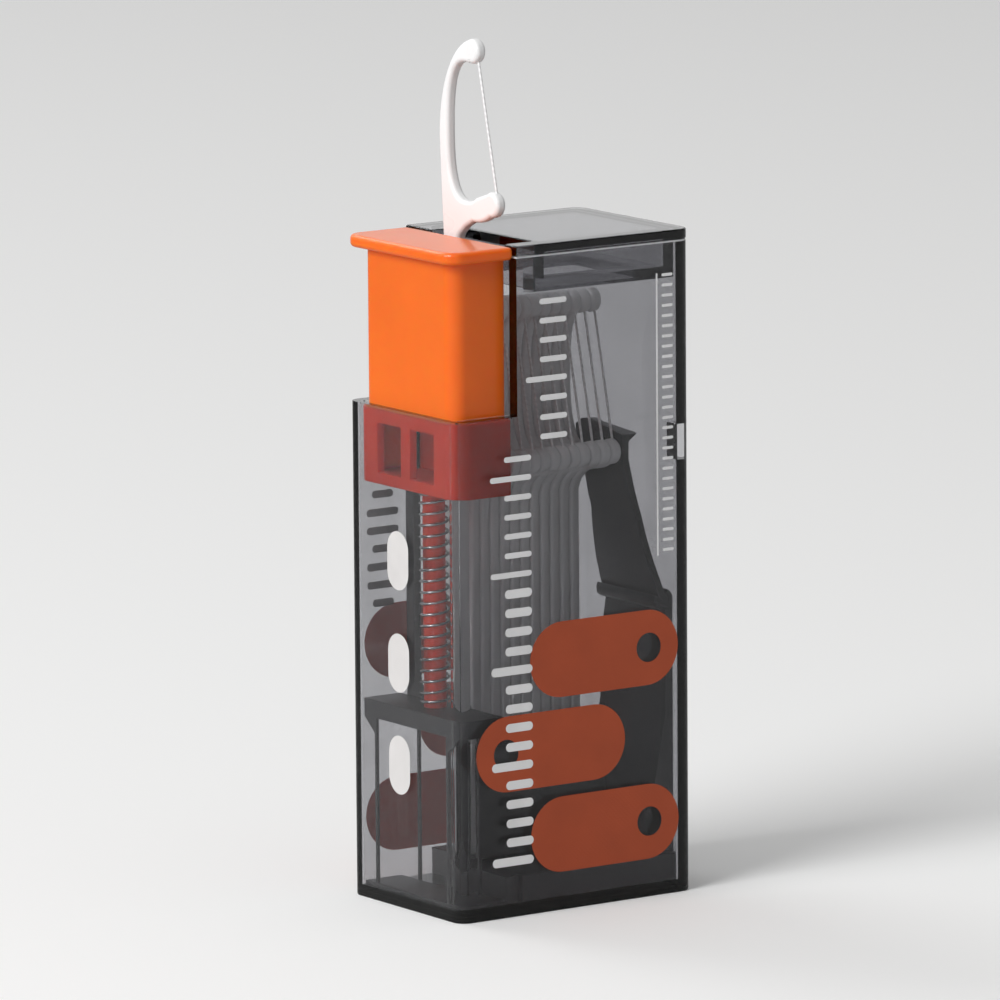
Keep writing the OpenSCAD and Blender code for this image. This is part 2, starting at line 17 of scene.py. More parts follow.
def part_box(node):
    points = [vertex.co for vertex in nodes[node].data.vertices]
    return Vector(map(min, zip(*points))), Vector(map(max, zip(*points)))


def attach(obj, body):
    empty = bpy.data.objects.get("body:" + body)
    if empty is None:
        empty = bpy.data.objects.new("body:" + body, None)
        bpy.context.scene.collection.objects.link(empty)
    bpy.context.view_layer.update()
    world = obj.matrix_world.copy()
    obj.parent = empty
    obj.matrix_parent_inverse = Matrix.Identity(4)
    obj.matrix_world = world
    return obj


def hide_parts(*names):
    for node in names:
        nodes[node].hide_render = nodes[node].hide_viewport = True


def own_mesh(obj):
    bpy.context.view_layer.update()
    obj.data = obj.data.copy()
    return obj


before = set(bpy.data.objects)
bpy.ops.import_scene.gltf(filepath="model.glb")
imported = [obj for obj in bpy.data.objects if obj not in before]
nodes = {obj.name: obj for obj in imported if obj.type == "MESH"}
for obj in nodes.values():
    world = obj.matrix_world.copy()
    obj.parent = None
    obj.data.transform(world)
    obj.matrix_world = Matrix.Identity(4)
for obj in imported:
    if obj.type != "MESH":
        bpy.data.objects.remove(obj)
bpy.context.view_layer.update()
MM = 0.001

# %% [markdown]
# ## Camera
#
# The photograph was taken with a long lens from the left and a little above, so upright edges
# hardly lean. A camera's own axes are its right, its up and the way back from what it looks at,
# so a rotation matrix is put together from those three directions, turned by a small roll.

# %% Place the camera
AZIMUTH, ELEVATION, ROLL = math.radians(-34.78), math.radians(9.69), math.radians(-0.425)
CAMERA_PLACE = Vector((-0.79808, -1.14416, 0.29464))

back = Vector((math.sin(AZIMUTH) * math.cos(ELEVATION), -math.cos(AZIMUTH) * math.cos(ELEVATION),
               math.sin(ELEVATION)))
level = Vector((math.cos(AZIMUTH), math.sin(AZIMUTH), 0))
right = Matrix.Rotation(ROLL, 3, back) @ level
up = back.cross(right)

camera_data = bpy.data.cameras.new("camera")
camera_data.sensor_width = 36
camera_data.lens = 361.0
camera_data.clip_end = 20
camera = bpy.data.objects.new("camera", camera_data)
bpy.context.scene.collection.objects.link(camera)
camera.matrix_world = Matrix.Translation(CAMERA_PLACE) @ Matrix((right, up, back)).transposed().to_4x4()
bpy.context.scene.camera = camera
print("camera at", [round(v, 3) for v in camera.location])

# %% [markdown]
# ## Floor and light
#
# Product photographs are lit by large soft sources, because clear plastic shows whatever stands
# round it. A pale world gives the even light and what the walls mirror, a large soft lamp at the
# upper left gives the button its bright side, and a plain pale floor takes the soft shadow.
# Light Path tells what kind of ray asks: those that the camera sends, straight or through a
# clear wall, meet the pale studio, and the others a dimmer one, so that the side of the object
# that faces away from the lamp keeps its shade. Glossy rays see the floor painted greyer still,
# darker behind the object, which puts a painted reflection into the walls. Photographers also
# stand a black screen beside clear plastic, because its walls mirror it and get crisp dark edges.
# Here it is a soft dark zone of the world on the right, which only glosses and clear walls see.
#
# Every material here is a small tree of nodes, and the same few kinds of node come back in all of
# them, so each kind gets a helper that makes one node with its settings and gives its socket.

# %% Write helpers for the nodes of the floor and the world
def new_material(name):
    made = bpy.data.materials.new(name)
    made.use_nodes = True
    return made, made.node_tree, made.node_tree.nodes["Principled BSDF"]


def new_node(tree, kind, **settings):
    node = tree.nodes.new(kind)
    for name, value in settings.items():
        setattr(node, name, value)
    return node


def object_place(tree):
    return tree.nodes.new("ShaderNodeTexCoord").outputs["Object"]


def dot_with(tree, vector, direction):
    """How far a vector points along a direction."""
    node = new_node(tree, "ShaderNodeVectorMath", operation="DOT_PRODUCT")
    node.inputs[1].default_value = direction
    tree.links.new(vector, node.inputs[0])
    return node.outputs["Value"]


def map_range(tree, value, to_min, to_max, from_min=0.0, from_max=1.0, interpolation="LINEAR"):
    """A value moved from one range to another."""
    node = new_node(tree, "ShaderNodeMapRange", interpolation_type=interpolation)
    for label, number in (("From Min", from_min), ("From Max", from_max),
                          ("To Min", to_min), ("To Max", to_max)):
        node.inputs[label].default_value = number
    tree.links.new(value, node.inputs["Value"])
    return node.outputs["Result"]


def calculated(tree, operation, *values):
    """The result of one sum, whose values are sockets or plain numbers."""
    node = new_node(tree, "ShaderNodeMath", operation=operation)
    for socket, value in zip(node.inputs, values):
        if isinstance(value, float):
            socket.default_value = value
        else:
            tree.links.new(value, socket)
    return node.outputs["Value"]


def by_ray(tree, seen, mirrored, lit):
    """One colour for what is seen, one for what is mirrored and one for the light that falls."""
    path = tree.nodes.new("ShaderNodeLightPath")
    straight = calculated(tree, "MAXIMUM", path.outputs["Is Camera Ray"],
                          path.outputs["Is Transmission Ray"])
    result = None
    for mask, colour in ((path.outputs["Is Glossy Ray"], mirrored), (straight, seen)):
        choice = new_node(tree, "ShaderNodeMix", data_type="RGBA")
        choice.inputs["A"].default_value = (*lit, 1)
        if isinstance(colour, tuple):
            choice.inputs["B"].default_value = (*colour, 1)
        else:
            tree.links.new(colour, choice.inputs["B"])
        if result:
            tree.links.new(result, choice.inputs["A"])
        tree.links.new(mask, choice.inputs["Factor"])
        result = choice.outputs["Result"]
    return result


print("helpers:", [helper.__name__ for helper in (new_node, dot_with, map_range, calculated, by_ray)])

# %% Make the floor
def new_object(name, mesh):
    made = bpy.data.objects.new(name, mesh)
    bpy.context.scene.collection.objects.link(made)
    return made


def mesh_from(bm, name):
    mesh = bpy.data.meshes.new(name)
    bm.to_mesh(mesh)
    bm.free()
    return mesh


floor_bm = bmesh.new()
bmesh.ops.create_grid(floor_bm, x_segments=1, y_segments=1, size=8)
floor = new_object("floor", mesh_from(floor_bm, "floor"))
floor_paint, floor_tree, floor_shader = new_material("pale_floor")
floor_shader.inputs["Roughness"].default_value = 0.85
floor_shader.inputs["Specular IOR Level"].default_value = 0.2

FLOOR_SEEN, FLOOR_LIT = (0.97, 0.97, 0.965), (0.50, 0.50, 0.50)
BEHIND_TO_FRONT = (0.57, -0.82, 0.0)
# painted reflection: glossy rays see the floor in a grey that darkens towards the back
mirrored_floor_shade = map_range(floor_tree, dot_with(floor_tree, object_place(floor_tree), BEHIND_TO_FRONT),
                       to_min=0.24, to_max=0.68, from_min=-0.5, from_max=0.5)
floor_tree.links.new(by_ray(floor_tree, FLOOR_SEEN, mirrored_floor_shade, FLOOR_LIT),
                     floor_shader.inputs["Base Color"])
floor.data.materials.append(floor_paint)
print("floor is", floor.dimensions.x, "m wide")

# %% Build the world with its black screen
world = bpy.data.worlds.new("pale_studio")
bpy.context.scene.world = world
world.use_nodes = True
background = world.node_tree.nodes["Background"]
background.inputs["Strength"].default_value = 1.0
tree = world.node_tree
WORLD_SEEN, WORLD_LIT = (0.85, 0.85, 0.845), (0.38, 0.38, 0.38)
tree.links.new(by_ray(tree, WORLD_SEEN, WORLD_SEEN, WORLD_LIT), background.inputs["Color"])

TO_THE_SCREEN = (0.60, -0.80, 0.0)
way = tree.nodes.new("ShaderNodeTexCoord").outputs["Generated"]
screen = map_range(tree, dot_with(tree, way, TO_THE_SCREEN), to_min=0.85, to_max=0.10,
                   from_min=0.35, from_max=0.85, interpolation="SMOOTHSTEP")
black_screen = tree.nodes.new("ShaderNodeBackground")
tree.links.new(screen, black_screen.inputs["Color"])
path = tree.nodes.new("ShaderNodeLightPath")
choose = tree.nodes.new("ShaderNodeMixShader")
meets_screen = calculated(tree, "MAXIMUM", path.outputs["Is Glossy Ray"],
                          path.outputs["Is Transmission Ray"])
tree.links.new(meets_screen, choose.inputs["Fac"])
tree.links.new(background.outputs["Background"], choose.inputs[1])
tree.links.new(black_screen.outputs["Background"], choose.inputs[2])
tree.links.new(choose.outputs["Shader"], tree.nodes["World Output"].inputs["Surface"])
print("world:", world.name, "with", len(tree.nodes), "nodes")

# %% Light the scene
MIDDLE = Vector((0, 0, 0.06))


def soft_lamp(name, place, size, power):
    data = bpy.data.lights.new(name, "AREA")
    data.shape = "DISK"
    data.size = size
    data.energy = power
    lamp = bpy.data.objects.new(name, data)
    bpy.context.scene.collection.objects.link(lamp)
    lamp.location = place
    lamp.rotation_euler = (MIDDLE - Vector(place)).to_track_quat("-Z", "Y").to_euler()
    return lamp


lamps = (soft_lamp("key_lamp", (-1.5, -0.25, 0.95), size=1.0, power=26),
         soft_lamp("back_lamp", (-0.3, 1.4, 1.3), size=0.9, power=6))
bpy.context.scene.view_settings.view_transform = "Standard"
print("lamps:", [lamp.name for lamp in lamps])

# %% [markdown]
# ## Plastics
#
# All the plastics come out of polished moulds, yet no moulding is perfectly even: the gloss
# drifts a little from place to place, and the skin has a faint ripple left by the cooling. Both
# are the same effect at different strengths, so they live in one node group with named inputs,
# which every moulded material places with its own values. Orange plastic also lets light some
# way in, red light furthest, so its shaded sides glow redder than its bright ones.

# %% Write helpers for node groups
def open_group(name, *sockets):
    """A node group with its two ends, from sockets given as a label, a kind and a way."""
    group = bpy.data.node_groups.new(name, "ShaderNodeTree")
    for label, kind, way in sockets:
        group.interface.new_socket(name=label, in_out=way, socket_type="NodeSocket" + kind)
    return group, group.nodes.new("NodeGroupInput"), group.nodes.new("NodeGroupOutput")


def noise(tree, vector, scale, detail):
    node = new_node(tree, "ShaderNodeTexNoise")
    node.inputs["Scale"].default_value = scale
    node.inputs["Detail"].default_value = detail
    tree.links.new(vector, node.inputs["Vector"])
    return node.outputs["Fac"]


def tinted(tree, colour, shade):
    """A colour multiplied by a shade of grey."""
    node = new_node(tree, "ShaderNodeMix", data_type="RGBA", blend_type="MULTIPLY")
    node.inputs["Factor"].default_value = 1.0
    tree.links.new(colour, node.inputs["A"])
    tree.links.new(shade, node.inputs["B"])
    return node.outputs["Result"]


def place_group(tree, group, **values):
    """The group as one node of a material, with a value for each named input."""
    node = new_node(tree, "ShaderNodeGroup", node_tree=group)
    for label, value in values.items():
        node.inputs[label.replace("_", " ")].default_value = value
    return node


print("helpers:", [helper.__name__ for helper in (open_group, noise, tinted, place_group)])

# %% Build the moulded skin group
moulded_skin, skin_in, skin_out = open_group(
    "moulded_skin", ("Colour", "Color", "INPUT"), ("Gloss loss", "Float", "INPUT"),
    ("Ripple", "Float", "INPUT"), ("Colour", "Color", "OUTPUT"), ("Roughness", "Float", "OUTPUT"),
    ("Normal", "Vector", "OUTPUT"))
skin_at = object_place(moulded_skin)
cloud = noise(moulded_skin, skin_at, scale=90, detail=2)
grain = noise(moulded_skin, skin_at, scale=1400, detail=3)

drift = map_range(moulded_skin, cloud, to_min=0.94, to_max=1.03, from_min=0.3, from_max=0.7)
moulded_skin.links.new(tinted(moulded_skin, skin_in.outputs["Colour"], drift),
                       skin_out.inputs["Colour"])

gloss_loss = skin_in.outputs["Gloss loss"]
loss = calculated(moulded_skin, "MULTIPLY", cloud, gloss_loss)
moulded_skin.links.new(calculated(moulded_skin, "MULTIPLY_ADD", loss, 0.5, gloss_loss),
                       skin_out.inputs["Roughness"])

bump = moulded_skin.nodes.new("ShaderNodeBump")
bump.inputs["Distance"].default_value = 0.1 * MM
moulded_skin.links.new(grain, bump.inputs["Height"])
moulded_skin.links.new(skin_in.outputs["Ripple"], bump.inputs["Strength"])
moulded_skin.links.new(bump.outputs["Normal"], skin_out.inputs["Normal"])
print("group sockets:", [s.name for s in moulded_skin.interface.items_tree])

# %% Mix the opaque plastics
GLOW_DEPTH = 2.5 * MM


def give_skin(tree, shader, colour, gloss_loss, ripple):
    """The moulded skin group, linked to a shader."""
    skin = place_group(tree, moulded_skin, Colour=(*colour, 1), Gloss_loss=gloss_loss, Ripple=ripple)
    for skin_socket, shader_socket in (("Colour", "Base Color"), ("Roughness", "Roughness"),
                                       ("Normal", "Normal")):
        tree.links.new(skin.outputs[skin_socket], shader.inputs[shader_socket])
    return skin


def opaque_plastic(name, colour, gloss_loss, ripple, specular=0.5, coat=0.0, glow=0.0):
    made, tree, shader = new_material(name)
    shader.inputs["Specular IOR Level"].default_value = specular
    shader.inputs["Coat Weight"].default_value = coat
    shader.inputs["Coat Roughness"].default_value = 0.12
    shader.inputs["Subsurface Weight"].default_value = glow
    shader.inputs["Subsurface Radius"].default_value = (1.0, 0.22, 0.1)
    shader.inputs["Subsurface Scale"].default_value = GLOW_DEPTH
    give_skin(tree, shader, colour, gloss_loss, ripple)
    return made


orange = opaque_plastic("orange_satin", (0.93, 0.155, 0.004), gloss_loss=0.34, ripple=0.10,
                        specular=0.25, coat=0.5, glow=0.6)
red_orange = opaque_plastic("red_orange_satin", (0.90, 0.055, 0.02), gloss_loss=0.34, ripple=0.10,
                            specular=0.2, glow=0.7)
charcoal = opaque_plastic("charcoal_satin", (0.022, 0.022, 0.024), gloss_loss=0.30, ripple=0.12)
white = opaque_plastic("white_gloss", (0.90, 0.90, 0.90), gloss_loss=0.24, ripple=0.06)
print("plastics:", [plastic.name for plastic in (orange, red_orange, charcoal, white)])

# %% [markdown]
# ## Smoky clear plastic
#
# The case isn't grey on its surface: the dye is in the plastic, so a thin wall looks light and a
# long way through the floor looks nearly black. The surface shader is clear plastic that bends
# light, and the grey comes from absorption in the volume, counted in metres of path. The moulded
# skin group gives it the least uneven gloss, far less than the opaque plastics have.

# %% Mix the smoky plastic
SMOKE_DENSITY, WALL = 265, 1.8 * MM
smoky, smoky_tree, smoky_shader = new_material("smoky_clear")
smoky_shader.inputs["IOR"].default_value = 1.5
smoky_shader.inputs["Transmission Weight"].default_value = 1.0
smoky_skin = give_skin(smoky_tree, smoky_shader, (1, 1, 1), gloss_loss=0.012, ripple=0.012)
absorb = smoky_tree.nodes.new("ShaderNodeVolumeAbsorption")
absorb.inputs["Color"].default_value = (0.0, 0.0, 0.06, 1)
absorb.inputs["Density"].default_value = SMOKE_DENSITY
smoky_tree.links.new(absorb.outputs["Volume"], smoky_tree.nodes["Material Output"].inputs["Volume"])
print("light left after one wall:", round(math.exp(-SMOKE_DENSITY * WALL), 2))

# %% [markdown]
# ## Softened edges
#
# The solids have knife-sharp edges, which no moulding has. A copy of a solid is merged into one
# skin, its flat triangles are joined back into whole faces, and the bevel operator then rounds
# the edges that are sharp. The copy stands for the solid that it was made from. Smooth shading
# would bend the light on the flat walls too, which ruins clear plastic. So each corner gets its
# direction from the regions that meet there: those that turn away sharply don't count, and the
# others count by the square of their area, which leaves the whole turn to the narrow bevels.
#
# The bevel operator can clamp its width so that bevels never meet, but then the shortest edge
# sets the width of them all. The clamp stays off here, and crowded corners are left out instead.

# %% Write the helpers that shade a copy
ONE_PLANE, TURNED_AWAY = 0.99999, math.cos(math.radians(38))


def flat_regions(bm):
    """The number of the flat region that each face belongs to, and the area of each region."""
    region, areas = {}, []
    for first in bm.faces:
        if first in region:
            continue
        region[first] = len(areas)
        areas.append(0.0)
        waiting = [first]
        while waiting:
            face = waiting.pop()
            areas[-1] += face.calc_area()
            for other in (o for edge in face.edges for o in edge.link_faces if o not in region):
                if other.normal.dot(face.normal) > ONE_PLANE:
                    region[other] = len(areas) - 1
                    waiting.append(other)
    return region, areas


def shade_flat_first(mesh):
    bm = bmesh.new()
    bm.from_mesh(mesh)
    region, areas = flat_regions(bm)
    directions = []
    for face in bm.faces:
        for vert in face.verts:
            near = {region[other]: other.normal for other in vert.link_faces
                    if other.normal.dot(face.normal) > TURNED_AWAY}
            weighed = (normal * (areas[number] / MM ** 2) ** 2 for number, normal in near.items())
            directions.append(sum(weighed, Vector()).normalized())
    bm.free()
    mesh.normals_split_custom_set(directions)


print("a face past", round(math.degrees(math.acos(TURNED_AWAY))), "degrees doesn't bend a corner")

# %% Write the helpers that round and finish a copy
SAME_POINT, ON_SURFACE = 1e-6, 1e-5
FLAT, SHARP = math.radians(0.5), math.radians(35)


def softened(node_name, piece_name, width, segments=3, chosen=None, mesh=None):
    """A rounded copy that stands for its node. If not all sharp edges are rounded, chosen tells
    which ones are, and if the node's own mesh isn't what is copied, mesh is."""
    bm = bmesh.new()
    bm.from_mesh(mesh or nodes[node_name].data)
    bmesh.ops.remove_doubles(bm, verts=bm.verts, dist=SAME_POINT)
    bmesh.ops.dissolve_limit(bm, angle_limit=FLAT, verts=bm.verts, edges=bm.edges)
    sharp = [edge for edge in bm.edges if len(edge.link_faces) == 2
             and edge.calc_face_angle(0) > SHARP and (chosen is None or chosen(edge))]
    bmesh.ops.bevel(bm, geom=sharp, offset=width, offset_type="OFFSET", segments=segments,
                    profile=0.5, affect="EDGES", clamp_overlap=False, material=-1)
    bmesh.ops.triangulate(bm, faces=[face for face in bm.faces if len(face.verts) > 4])
    for face in bm.faces:
        face.smooth = True
    made = new_object(piece_name, mesh_from(bm, piece_name))
    shade_flat_first(made.data)
    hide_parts(node_name)
    print(piece_name, "has", len(made.data.polygons), "faces,", len(sharp), "edges rounded")
    return made


def outward(shortest, lowest, highest):
    """Tells whether an edge points outwards, is long enough and lies between two heights."""
    def chosen(edge):
        return (edge.is_convex and edge.calc_length() > shortest
                and all(lowest < v.co.z < highest for v in edge.verts))
    return chosen


def coat_with(piece, material):
    piece.data.materials.clear()
    piece.data.materials.append(material)


def finish_piece(piece, body, material):
    coat_with(piece, material)
    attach(piece, body)


print("edges that turn more than", round(math.degrees(SHARP)), "degrees are rounded")

# %% [markdown]
# ## Case and lid
#
# The case is one moulding and the lid is another that plugs into it. Their upright corners are
# round already in the solids. The level edges of the case's outside and the outward edges of the
# lid's plate are rounded here, and light gathers in them as bright and dark lines.
#
# In the engineering model an upright rib stands on each wide wall and keeps the slider from the
# picks. Clear plastic carries light inside itself, so the ribs would light up the end of the wall
# above the step and glitter below it, where the wall should be quiet. A Boolean modifier with
# blocks a little larger than the ribs takes them off a copy, so this lesson's case has none.
#
# The rounded faces of the case's top rim get a rougher, pale and partly opaque copy of the
# material, and show as a pale line: a painted highlight along the seam under the lid.

# %% Take the ribs off
low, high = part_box("shell")


def cut_with_blocks(mesh, blocks):
    """A copy of a mesh with blocks taken away, each given as two opposite corners."""
    block_bm = bmesh.new()
    for a, b in blocks:
        middle = (Vector(a) + Vector(b)) / 2
        size = [abs(q - p) for p, q in zip(a, b)]
        bmesh.ops.create_cube(block_bm, size=1, matrix=Matrix.Translation(middle)
                              @ Matrix.Diagonal((*size, 1)))
    blocks_object = new_object("blocks", mesh_from(block_bm, "blocks"))
    copy = new_object("copy", mesh.copy())
    cut = copy.modifiers.new("cut", "BOOLEAN")
    cut.operation = "DIFFERENCE"
    cut.solver = "EXACT"
    cut.object = blocks_object
    ready = copy.evaluated_get(bpy.context.evaluated_depsgraph_get())
    result = bpy.data.meshes.new_from_object(ready)
    for used in (copy, blocks_object):
        bpy.data.objects.remove(used)
    return result


STEP_X, FLOOR, RIB = low[0] + 10.3 * MM, 1.65 * MM, 1.0 * MM
SPARE_LEFT, SPARE_RIGHT, SPARE_TOP = 0.05 * MM, 0.2 * MM, 1.0 * MM
rib_blocks = [((STEP_X - SPARE_LEFT, side * (high[1] - WALL), FLOOR),
               (STEP_X + RIB + SPARE_RIGHT, side * (high[1] - WALL - RIB), high[2] + SPARE_TOP))
              for side in (-1, 1)]
trimmed_shell = cut_with_blocks(nodes["shell"].data, rib_blocks)
print("shell of", len(nodes["shell"].data.polygons), "faces, trimmed", len(trimmed_shell.polygons))

# %% Soften the case
def on_outside(edge):
    """Tells whether an edge is level and both its ends lie on the outside of the case."""
    def outer(v):
        return (min(v.co.x - low[0], high[0] - v.co.x, v.co.y - low[1], high[1] - v.co.y) < ON_SURFACE
                or min(abs(v.co.z - low[2]), abs(v.co.z - high[2])) < ON_SURFACE)
    level_edge = abs(edge.verts[0].co.z - edge.verts[1].co.z) < SAME_POINT
    return level_edge and all(outer(v) for v in edge.verts)


case = softened("shell", "case", 0.25 * MM, chosen=on_outside, mesh=trimmed_shell)
finish_piece(case, "case", smoky)

# %% Paint a pale highlight on the rim
HIGHLIGHT_BAND, LEAST_TILT, MOST_TILT = 0.3 * MM, 0.1, 0.95
# painted highlight: a pale colour and partial opacity stand in for the bright line of light at the seam
painted_highlight = smoky.copy()
painted_highlight.name = "painted_highlight_rim"
highlight_rim_skin = painted_highlight.node_tree.nodes[smoky_skin.name]
highlight_rim_skin.inputs["Gloss loss"].default_value = 0.45
highlight_rim_skin.inputs["Colour"].default_value = (0.85, 0.85, 0.87, 1)
painted_highlight.node_tree.nodes[smoky_shader.name].inputs["Transmission Weight"].default_value = 0.3
case.data.materials.append(painted_highlight)
rim_faces = [face for face in case.data.polygons
             if face.center.z > high[2] - HIGHLIGHT_BAND and LEAST_TILT < face.normal.z < MOST_TILT]
for face in rim_faces:
    face.material_index = 1
print("frosted rim of", len(rim_faces), "faces")

# %% Soften the lid
lid = softened("lid", "clear_lid", 0.2 * MM, chosen=outward(0, high[2] - ON_SURFACE, math.inf))
finish_piece(lid, "lid", smoky)

# %% [markdown]
# ## Button, slider and lifter
#
# The orange button keeps its moulded lip from the solid, whose edge is already round. The slider
# below it and the dark parts only need their arrises taken off. The frame and the pusher are
# rounded on longer outward edges alone, and not where edges crowd together: at the seat on the
# frame in which the pusher turns, and at the pusher's own root and beak.

# %% Dress the button
coat_with(nodes["button_cap"], orange)
slider = softened("slider", "windowed_slider", 0.18 * MM)
finish_piece(slider, "push_button", red_orange)
lifter = softened("lifter", "pick_lifter", 0.12 * MM, segments=2)
finish_piece(lifter, "push_button", charcoal)

# %% Dress the frame and the pusher
SEAT_Z, ROOT_Z, BEAK_Z = 41 * MM, 44 * MM, 65 * MM
inner = softened("inner_frame", "shelf_frame", 0.12 * MM, segments=2,
                 chosen=outward(1 * MM, -math.inf, SEAT_Z))
finish_piece(inner, "case", charcoal)
pusher = softened("pusher", "springy_pusher", 0.12 * MM, segments=2,
                  chosen=outward(0.5 * MM, ROOT_Z, BEAK_Z))
finish_piece(pusher, "pusher", charcoal)

# %% [markdown]
# ## Spring
#
# A compression spring is a wire wound on a mandrel. The spin operator does the same: it turns a
# small circle about an axis, and a step vector lifts it a little each time. The end curls lie
# closer than the working ones, so the wire is wound in three runs, one after the other.
# Drawing wire through a die leaves fine lines along it. The wire runs nearly level all the way
# round, so a noise that is squeezed upwards and stretched sideways gives lines along the wire.

# %% Draw the steel
steel, steel_tree, steel_shader = new_material("spring_steel")
steel_shader.inputs["Metallic"].default_value = 1.0
drawn = new_node(steel_tree, "ShaderNodeVectorMath", operation="MULTIPLY")
drawn.inputs[1].default_value = (0.15, 0.15, 4.0)
steel_tree.links.new(object_place(steel_tree), drawn.inputs[0])
lines = noise(steel_tree, drawn.outputs["Vector"], scale=2500, detail=3)
shade = steel_tree.nodes.new("ShaderNodeValToRGB")
shade.color_ramp.elements[0].color = (0.24, 0.24, 0.25, 1)
shade.color_ramp.elements[1].color = (0.50, 0.50, 0.51, 1)
steel_tree.links.new(lines, shade.inputs["Fac"])
steel_tree.links.new(map_range(steel_tree, lines, to_min=0.16, to_max=0.36),
                     steel_shader.inputs["Roughness"])
steel_tree.links.new(shade.outputs["Color"], steel_shader.inputs["Base Color"])
print("steel:", steel.name, "with", len(steel_tree.nodes), "nodes")

# %% Wind the spring
seat_low, seat_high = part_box("button_spring")
rod_x = (seat_low[0] + seat_high[0]) / 2
wire_r, coil_r = 0.2 * MM, 1.95 * MM
working_curls, end_rise = 18, 0.9 * MM
STEPS_A_CURL, WIRE_SIDES = 28, 10
spring_length = seat_high[2] - seat_low[2]
working_rise = (spring_length - 4 * wire_r - 2 * end_rise) / working_curls


def wind(bm, end, curls, rise):
    """Winds the wire on from its end, and gives the new end."""
    spun = bmesh.ops.spin(bm, geom=end, cent=(rod_x, 0, 0), axis=(0, 0, 1),
                          dvec=(0, 0, rise / STEPS_A_CURL), angle=curls * math.tau,
                          steps=curls * STEPS_A_CURL, use_duplicate=False)
    return spun["geom_last"]


spring_bm = bmesh.new()
start = (Matrix.Translation((rod_x + coil_r, 0, seat_low[2] + 2 * wire_r))
         @ Matrix.Rotation(math.pi / 2, 4, "X"))
bmesh.ops.create_circle(spring_bm, cap_ends=True, segments=WIRE_SIDES, radius=wire_r, matrix=start)
end = list(spring_bm.verts) + list(spring_bm.edges) + list(spring_bm.faces)
for curls, rise in ((1, end_rise), (working_curls, working_rise), (1, end_rise)):
    end = wind(spring_bm, end, curls, rise)
bmesh.ops.recalc_face_normals(spring_bm, faces=spring_bm.faces)
for face in spring_bm.faces:
    face.smooth = True
spring = new_object("wound_spring", mesh_from(spring_bm, "wound_spring"))
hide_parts("button_spring")
finish_piece(spring, "case", steel)
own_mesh(spring)
print("spring of", len(spring.data.polygons), "faces,", round(spring_length / MM, 1), "mm long")

# %% [markdown]
# ## Floss picks
#
# A pick is a flat white moulding with well rounded edges, and they catch long soft highlights
# on the bow and the handle. The thread between its horns is made of many fibres with a light
# twist: slanting waves raise and lower its surface, and a noise keeps them from being even.
# The low parts of the waves are also painted a little darker, as painted shade in the grooves.

# %% Soften the picks
SHARP_FOOT = 6 * MM


def on_flat_side(edge):
    """Tells whether an edge runs round one of a pick's two flat sides, above its sharp foot."""
    side = [min(abs(v.co.x - node_low[0]), abs(v.co.x - node_high[0])) < ON_SURFACE
            and v.co.z > node_low[2] + SHARP_FOOT for v in edge.verts]
    return all(side) and abs(edge.verts[0].co.x - edge.verts[1].co.x) < ON_SURFACE


node_low, node_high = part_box("raised_pick")
raised = softened("raised_pick", "raised_white_pick", 0.62 * MM, segments=5, chosen=on_flat_side)
finish_piece(raised, "raised_pick", white)
stored_names = sorted(name for name in nodes if name.startswith("stored_pick_"))
for name in stored_names:
    node_low, node_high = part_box(name)
    pick = softened(name, name.replace("stored", "white"), 0.55 * MM, chosen=on_flat_side)
    finish_piece(pick, "case", white)
print(len(stored_names), "picks in store")

# %% Twist the threads
thread, thread_tree, thread_shader = new_material("floss_thread")
thread_shader.inputs["Roughness"].default_value = 0.5
twist = new_node(thread_tree, "ShaderNodeTexWave", bands_direction="DIAGONAL")
twist.inputs["Scale"].default_value = 600
twist.inputs["Distortion"].default_value = 1.5
# painted shade: the low parts of the twist are coloured darker, following the bump
groove_shade = thread_tree.nodes.new("ShaderNodeValToRGB")
groove_shade.color_ramp.elements[0].color = (0.80, 0.80, 0.80, 1)
groove_shade.color_ramp.elements[1].color = (0.95, 0.95, 0.95, 1)
fibre_bump = thread_tree.nodes.new("ShaderNodeBump")
fibre_bump.inputs["Distance"].default_value = 0.04 * MM
thread_tree.links.new(object_place(thread_tree), twist.inputs["Vector"])
thread_tree.links.new(twist.outputs["Fac"], groove_shade.inputs["Fac"])
thread_tree.links.new(twist.outputs["Fac"], fibre_bump.inputs["Height"])
thread_tree.links.new(groove_shade.outputs["Color"], thread_shader.inputs["Base Color"])
thread_tree.links.new(fibre_bump.outputs["Normal"], thread_shader.inputs["Normal"])
thread_names = [name for name in nodes if "floss" in name]
for name in thread_names:
    coat_with(nodes[name], thread)
print(len(thread_names), "threads")

# %% [markdown]
# ## Prints
#
# The walls carry thin screen prints. A print is a flat patch a hundredth of a millimetre thick: a
# rectangle whose corners the bevel operator rounds into arcs, each a hair short of its radius so
# that no two meet in one point. Where a patch has a hole, a second and smaller outline is bridged
# to the first. The ink is pressed through a woven screen, so it keeps a faint weave: waves that
# run up are multiplied by slanting ones. All the inks share that group.

# %% Write the helpers for a rounded patch
INK_THICKNESS, ARC_STEPS, HAIR_SHORT = 0.01 * MM, 10, 0.999


def rounded_outline(bm, width, height, radius):
    made = bmesh.ops.create_grid(bm, x_segments=1, y_segments=1, size=0.5,
                                 matrix=Matrix.Diagonal((width, height, 1, 1)))
    bmesh.ops.bevel(bm, geom=made["verts"], offset=radius * HAIR_SHORT,
                    offset_type="OFFSET", segments=ARC_STEPS, profile=0.5, affect="VERTICES",
                    clamp_overlap=False, material=-1)


